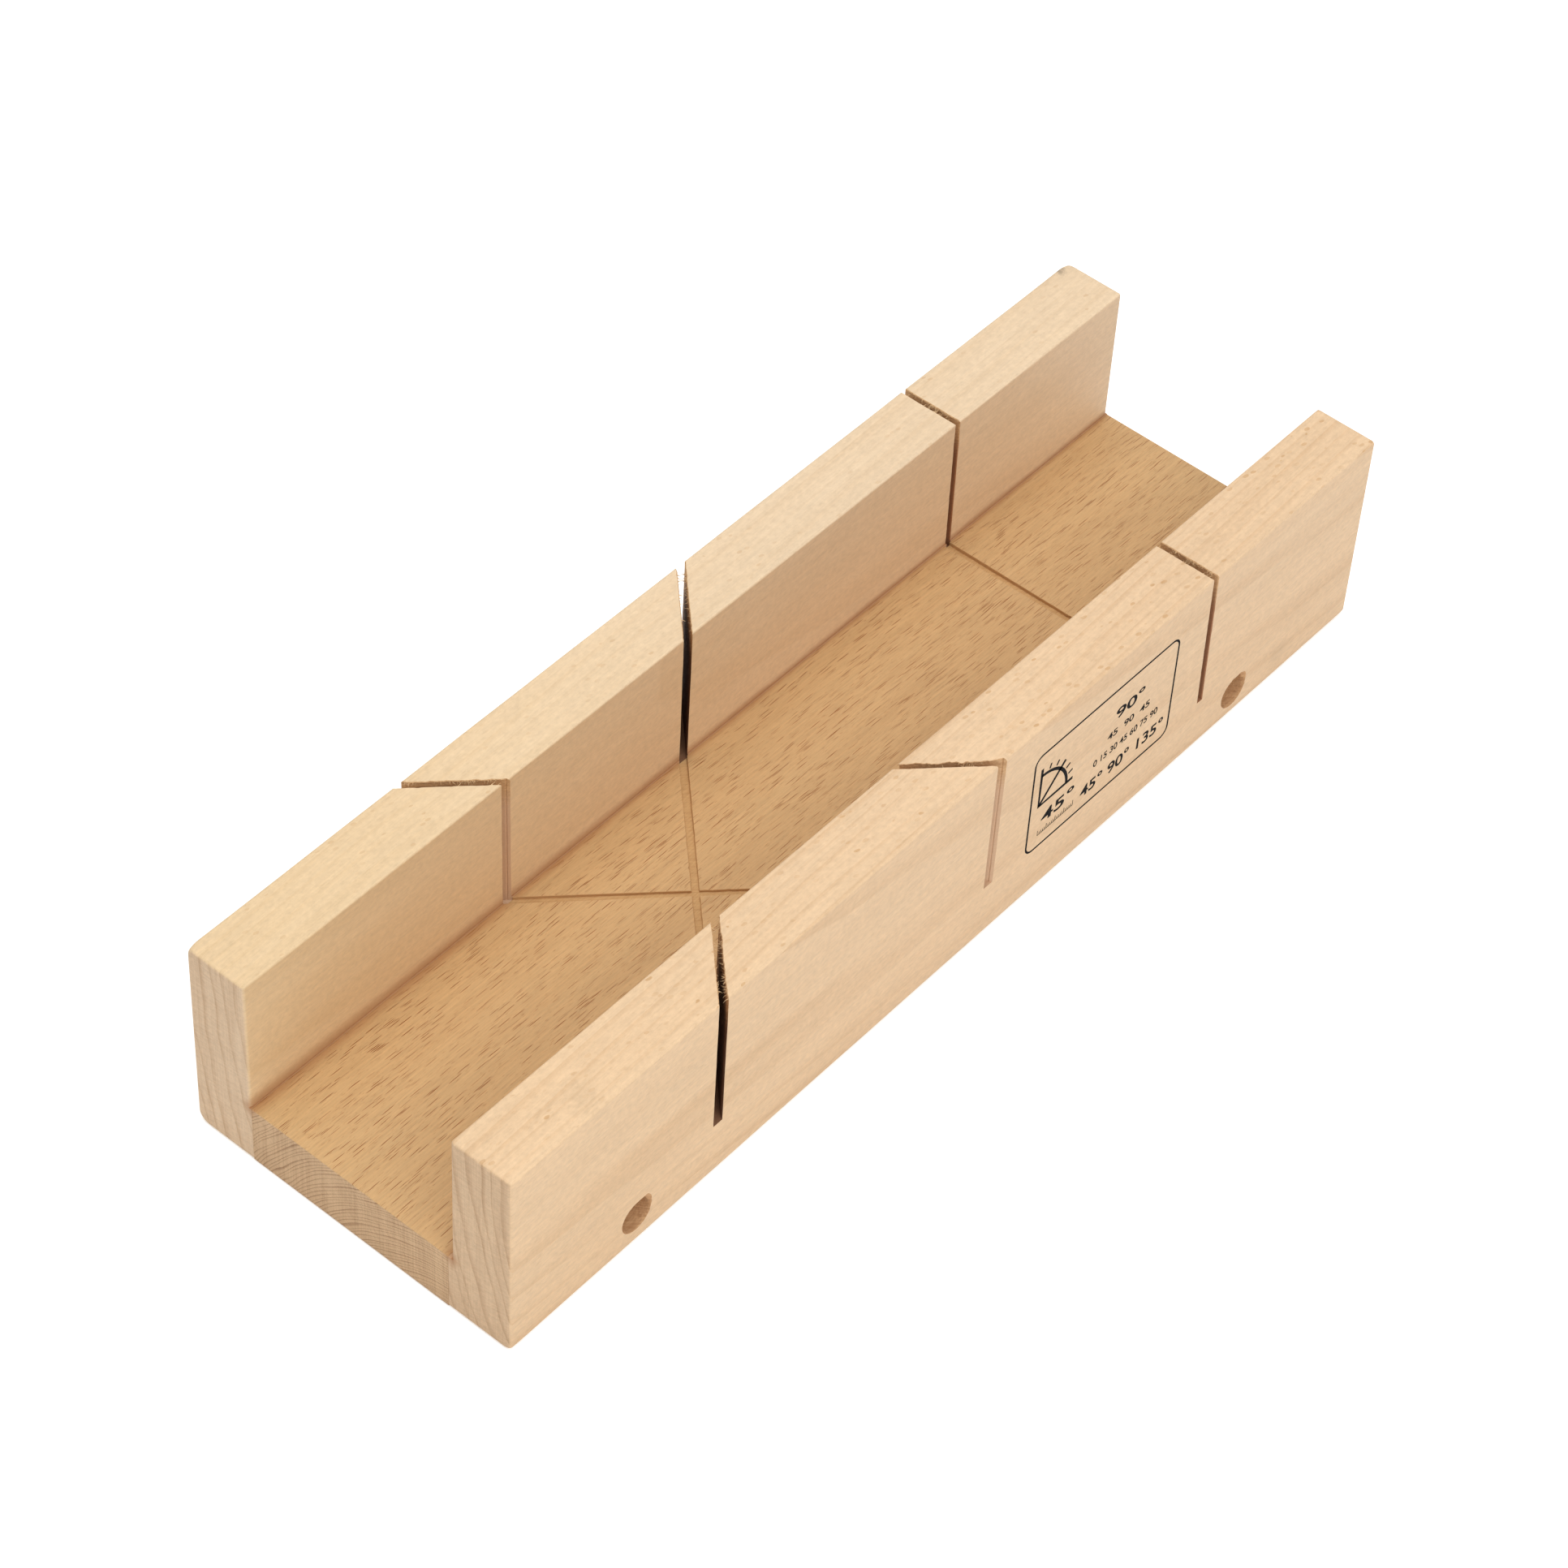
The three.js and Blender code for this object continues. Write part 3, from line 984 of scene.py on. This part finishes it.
def sawn_beech(name, wood, darkest, palest, deep_scorch_and_shade=None, shade_sides_only=False):
    """Wood inside a saw cut or a drilled hole, scored by the teeth, and perhaps darkened deep down with
    scorch and painted shade.
    """
    shader = Shader(name)
    x, y, z = shader.position()
    along, around, radius = grain_place(shader, wood)
    strokes = shader.noise((x + y) / 8, (x - y) / 8, (z + x * 0.7 + y * 0.7) / 0.4, detail=3.0)
    grain = shader.noise(along / 3, around / 0.4, radius / 0.4, detail=2.0)
    tone = shader.rise(strokes * 0.6 + grain * 0.6, -0.35, 0.35)
    colour = shader.blend(darkest, palest, tone)
    if deep_scorch_and_shade:
        # Deep in a cut the wood takes the kerf's deep colour: saw scorch and painted shade of the narrow
        # slot.
        deep = shader.rise(z + strokes * 4.0, TOP - 2.0, TOP - 12.0)
        # For the base's kerfs only the upright sides take the painted shade; the bottom stays as sawn.
        upright = shader.rise(shader.normal()[2], 0.9, 0.5) if shade_sides_only else 1.0
        colour = shader.blend(colour, deep_scorch_and_shade, deep * upright * 0.85)
    return shader.finish(colour, 0.8, strokes * 0.6 + grain, relief=0.10)


# ---- zinc, ink and paper -----------------------------------------------------------------------

ZINC_BRIGHT = srgb(196, 196, 190)
ZINC_DULL = srgb(168, 166, 152)
WOOD_DUST = srgb(150, 122, 92)
INK = srgb(14, 12, 16)
STARVED_INK = srgb(66, 54, 50)
PAPER = srgb(250, 250, 250)
PAPER_GLOW = 0.35


def zinc_plate(name):
    """Bright zinc with fine turning marks, brushed highlights and dull specks of dust."""
    shader = Shader(name)
    x, y, z = shader.position()
    cloud = shader.noise(x / 1.5, y / 1.5, z / 1.5, detail=4.0, roughness=0.6)
    scratch = shader.noise(x / 0.08, y / 2.0, z / 1.2, detail=2.0)
    dust = shader.rise(shader.noise(x / 0.4, y / 0.4, z / 0.4, detail=3.0), 0.10, 0.25)
    bright = shader.blend(ZINC_BRIGHT, ZINC_DULL, shader.rise(cloud, -0.2, 0.2))
    colour = shader.blend(bright, WOOD_DUST, dust * 0.6)
    roughness = cloud * 0.3 + scratch * 0.25 + dust * 0.3 + 0.34
    return shader.finish(colour, roughness, scratch + cloud * 0.5, relief=0.02, metallic=0.9)


def stamp_ink(name):
    """Matt brown-black ink, thin where the wood's grain took less of it."""
    shader = Shader(name)
    x, y, z = shader.position()
    starved = shader.rise(shader.noise(x / 0.9, y, z / 0.25, detail=4.0, roughness=0.7), 0.12, 0.40)
    colour = shader.blend(INK, STARVED_INK, starved)
    shader.surface.inputs["Specular IOR Level"].default_value = 0.15
    return shader.finish(colour, starved * 0.1 + 0.75, starved, relief=0.01)


def pale_paper(name):
    """The studio floor: matt white with the faintest mottle, and a glow that only the camera sees."""
    shader = Shader(name)
    x, y, z = shader.position()
    mottle = shader.noise(x / 40, y / 40, z / 40, detail=3.0)
    seen = shader.nodes.new("ShaderNodeLightPath")
    shader.surface.inputs["Emission Color"].default_value = srgb(255, 255, 255)
    glow = Term(shader, seen.outputs["Is Camera Ray"]) * PAPER_GLOW
    shader.put(shader.surface.inputs["Emission Strength"], glow)
    return shader.finish(shader.lit(PAPER, mottle * 0.01 + 1.0), 0.9)


# ---- printed scale -----------------------------------------------------------------------------

PRINT_MIDDLE = Vector((48.9, 0, 31.0))
PRINT_SIZE = (53.1, 32.2)
PRINT_CORNER = 2.6
PRINT_LINE = 0.6
PRINT_BOLD = 0.95
INK_THICKNESS = 0.02
# How much the figures' strokes are fattened, in the font's own units.
FIGURE_WEIGHT = 0.018
# From the print's middle: the protractor's corner as (across, up), and the rule's two ends and its height.
PROTRACTOR_CORNER = (-23.6, -1.6)
PROTRACTOR_RADIUS = 12.6
RULE_ENDS = (-22.6, -9.6)
RULE_HEIGHT = -12.1
RULE_STEPS = 20
RULE_LINE = 0.2
RULE_TICK = 0.9
RULE_LONG_TICK = 1.6
# Rows of figures as (text, middle across, middle up, width, height), from the print's middle.
PRINT_ROWS = [
    ("90°", 9.3, 7.4, 10.7, 3.7),
    ("45  90  45", 9.5, 1.4, 15.8, 2.2),
    ("0 15 30 45 60 75 90", 9.1, -3.9, 24.2, 2.2),
    ("45° 90° 135°", 8.7, -10.5, 31.2, 3.9),
    ("45°", -15.8, -6.9, 12.0, 4.2),
]


def ribbon(bm, points, width, closed=False):
    """A flat inked line through points (across, up) of the printed face, mitred at its corners."""
    ring = [Vector(point) for point in points]
    count = len(ring)
    left, right = [], []
    for i, point in enumerate(ring):
        before = ring[i - 1] if closed or i > 0 else point
        after = ring[(i + 1) % count] if closed or i < count - 1 else point
        along = (after - before).normalized()
        off = Vector((-along.y, along.x)) * width / 2
        left.append(point + off)
        right.append(point - off)
    last = count if closed else count - 1
    for i in range(last):
        j = (i + 1) % count
        corners = (left[i], right[i], right[j], left[j])
        loft(bm, [[(x, depth, z) for x, z in corners] for depth in (0.0, INK_THICKNESS)])


def circle_points(centre, radius, start, end, count):
    angles = [math.radians(mixed(start, end, i / count)) for i in range(count + 1)]
    return [(centre[0] + radius * math.cos(a), centre[1] + radius * math.sin(a)) for a in angles]


def rounded_frame(width, height, corner):
    points = []
    for quarter, (across, up) in enumerate(((1, 1), (-1, 1), (-1, -1), (1, -1))):
        centre = (across * (width / 2 - corner), up * (height / 2 - corner))
        points += circle_points(centre, corner, 90 * quarter, 90 * quarter + 90, 8)
    return points


def figures(bm, text, across, up, width, height):
    """Printed figures that fill a width and a height about a middle."""
    curve = bpy.data.curves.new("figures", "FONT")
    curve.body = text
    curve.offset = FIGURE_WEIGHT
    curve.extrude = 0.5
    obj = bpy.data.objects.new("figures", curve)
    bpy.context.scene.collection.objects.link(obj)
    mesh = bpy.data.meshes.new_from_object(obj.evaluated_get(bpy.context.evaluated_depsgraph_get()))
    xs = [vertex.co.x for vertex in mesh.vertices]
    ys = [vertex.co.y for vertex in mesh.vertices]
    wide = width / (max(xs) - min(xs))
    high = height / (max(ys) - min(ys))
    for vertex in mesh.vertices:
        right = (vertex.co.x - (max(xs) + min(xs)) / 2) * wide + across
        above = (vertex.co.y - (max(ys) + min(ys)) / 2) * high + up
        vertex.co = (right, INK_THICKNESS * (0.5 - vertex.co.z), above)
    bm.from_mesh(mesh)
    bpy.data.objects.remove(obj)


def quarter_protractor(bm):
    """A right angle with its arc, a tick every 15 degrees and a pointer at 45."""
    x, z = PROTRACTOR_CORNER
    radius = PROTRACTOR_RADIUS
    arc_radius = radius - 2.4
    tick_start = radius - 1.6
    ribbon(bm, [(x, z + radius), (x, z), (x + radius, z)], PRINT_BOLD)
    ribbon(bm, circle_points(PROTRACTOR_CORNER, arc_radius, 0, 90, 20), PRINT_BOLD)
    for degrees in range(15, 90, 15):
        turn = Vector((math.cos(math.radians(degrees)), math.sin(math.radians(degrees))))
        inner, width = (0.0, PRINT_BOLD) if degrees == 45 else (tick_start, PRINT_LINE)
        ribbon(bm, [Vector(PROTRACTOR_CORNER) + turn * reach for reach in (inner, radius)], width)


def rule(bm):
    """A short rule with every fifth tick long."""
    for i in range(RULE_STEPS + 1):
        across = mixed(*RULE_ENDS, i / RULE_STEPS)
        height = RULE_TICK if i % 5 else RULE_LONG_TICK
        ribbon(bm, [(across, RULE_HEIGHT), (across, RULE_HEIGHT + height)], RULE_LINE)
    ribbon(bm, [(across, RULE_HEIGHT) for across in RULE_ENDS], RULE_LINE)


def stamped_scale(material):
    """The print on the front wall: a frame, the slots' angles and a rule."""
    bm = bmesh.new()
    ribbon(bm, rounded_frame(*PRINT_SIZE, PRINT_CORNER), PRINT_LINE, closed=True)
    quarter_protractor(bm)
    rule(bm)
    for row in PRINT_ROWS:
        figures(bm, *row)
    origin = Vector((PRINT_MIDDLE.x, -(OUTER - SKIN) - INK_THICKNESS, PRINT_MIDDLE.z))
    bmesh.ops.translate(bm, vec=origin, verts=bm.verts)
    return piece_from("stamped_scale", bm, [material])


# ---- the object --------------------------------------------------------------------------------

BOARD_SIDE = {"front_wall": -1, "rear_wall": 1, "base_board": 0}
FIBRE_SEED = 5


def build_boards():
    """The three boards, each cut by the slots and screw holes that reach it."""
    for node, wood in BEECH.items():
        planed = planed_beech(node + "_beech", wood)
        drilled = sawn_beech(node + "_drilled", wood, *DRILLED_TONES)
        side = BOARD_SIDE[node]
        cutters = []
        for cut, label in zip(SAW_CUTS, "abc"):
            # The deep colour of each kerf: scorch and painted shade in the walls, painted shade on the sides
            # of the base's kerfs.
            kerf_scorch_and_shade = srgb(*cut["kerf_scorch_and_shade"]) if side else KERF_SIDE_SHADE_IN_BASE
            tones = SAWN_TONES[node]
            sawn = sawn_beech(f"{node}_sawn_{label}", wood, *tones, kerf_scorch_and_shade, shade_sides_only=not side)
            cutters.append(wall_kerf(cut, side, sawn) if side else base_kerf(cut, sawn))
        if side:
            board = wall_board(node + "_wood", side, [planed])
        else:
            board = base_board(node + "_wood", [planed])
        holes = [name for name, holder in SCREWS.items() if side in (0, holder)]
        carve(board, cutters + [screw_hole(name, drilled) for name in holes])
        smooth(board)
        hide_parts(node)
        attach(board, "root")


def build_screws():
    zinc = zinc_plate("zinc")
    for name in SCREWS:
        obj = screw(name, zinc)
        smooth(obj, 40)
        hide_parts(name)
        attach(obj, "root")


def build_details():
    fibres = kerf_fibres(sawn_beech("fibre", BEECH["rear_wall"], *FIBRE_TONES), FIBRE_SEED)
    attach(fibres, "root")
    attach(stamped_scale(stamp_ink("ink")), "root")


# ---- studio ------------------------------------------------------------------------------------

PAPER_RADIUS = 6000.0
PAPER_DROP = 0.2
WORLD_LIGHT = 0.55
# Each softbox as (name, place in metres, size in metres, watts).
SOFTBOXES = [
    ("key", (-0.6, -1.3, 1.6), 1.2, 15.3),
    ("top", (0.1, 0.2, 2.0), 1.4, 15.5),
]
CAMERA_AIM = Vector((-8.0, 0.8, TOP / 2))
CAMERA_DISTANCE = 1058.7
CAMERA_AZIMUTH = math.radians(-52.195)
CAMERA_ELEVATION = math.radians(47.443)
CAMERA_ROLL = math.radians(-3.782)
CAMERA_LENS = 107.2
CAMERA_SENSOR = 36.0


def build_floor():
    """A disc of paper, just under the object."""
    bm = bmesh.new()
    rim = circle_points((0, 0), PAPER_RADIUS, 0, 354, 59)
    bm.faces.new([bm.verts.new((x, y, -PAPER_DROP)) for x, y in rim])
    piece_from("studio_floor", bm, [pale_paper("paper")])


def build_world():
    """Even white light from all round, behind which the camera sees plain white."""
    world = bpy.data.worlds.new("studio")
    world.use_nodes = True
    nodes = world.node_tree.nodes
    background = nodes["Background"]
    background.inputs["Color"].default_value = (1.0, 1.0, 1.0, 1.0)
    brightness = nodes.new("ShaderNodeMapRange")
    brightness.inputs["To Min"].default_value = WORLD_LIGHT
    links = world.node_tree.links
    links.new(nodes.new("ShaderNodeLightPath").outputs["Is Camera Ray"], brightness.inputs["Value"])
    links.new(brightness.outputs["Result"], background.inputs["Strength"])
    bpy.context.scene.world = world


def softbox(name, place, size, watts):
    """A square area light aimed at the object's middle. place and size are metres."""
    data = bpy.data.lights.new(name, "AREA")
    data.size = size
    data.energy = watts
    light = bpy.data.objects.new(name, data)
    light.location = place
    light.rotation_euler = (-Vector(place)).to_track_quat("-Z", "Y").to_euler()
    bpy.context.scene.collection.objects.link(light)


def build_camera():
    """Three-quarter view from above the near end, a little rolled, aimed near the box's middle."""
    back = Vector(
        (
            math.sin(CAMERA_AZIMUTH) * math.cos(CAMERA_ELEVATION),
            -math.cos(CAMERA_AZIMUTH) * math.cos(CAMERA_ELEVATION),
            math.sin(CAMERA_ELEVATION),
        )
    )
    place = Matrix.Translation(CAMERA_AIM * MM + back * (CAMERA_DISTANCE * MM))
    level = (-back).to_track_quat("-Z", "Y").to_matrix().to_4x4()
    data = bpy.data.cameras.new("camera")
    data.sensor_width = CAMERA_SENSOR
    data.lens = CAMERA_LENS
    camera = bpy.data.objects.new("camera", data)
    camera.matrix_world = place @ level @ Matrix.Rotation(-CAMERA_ROLL, 4, "Z")
    bpy.context.scene.collection.objects.link(camera)
    bpy.context.scene.camera = camera


build_boards()
build_screws()
build_details()
build_floor()
build_world()
for box in SOFTBOXES:
    softbox(*box)
build_camera()
bpy.context.scene.view_settings.view_transform = "Standard"
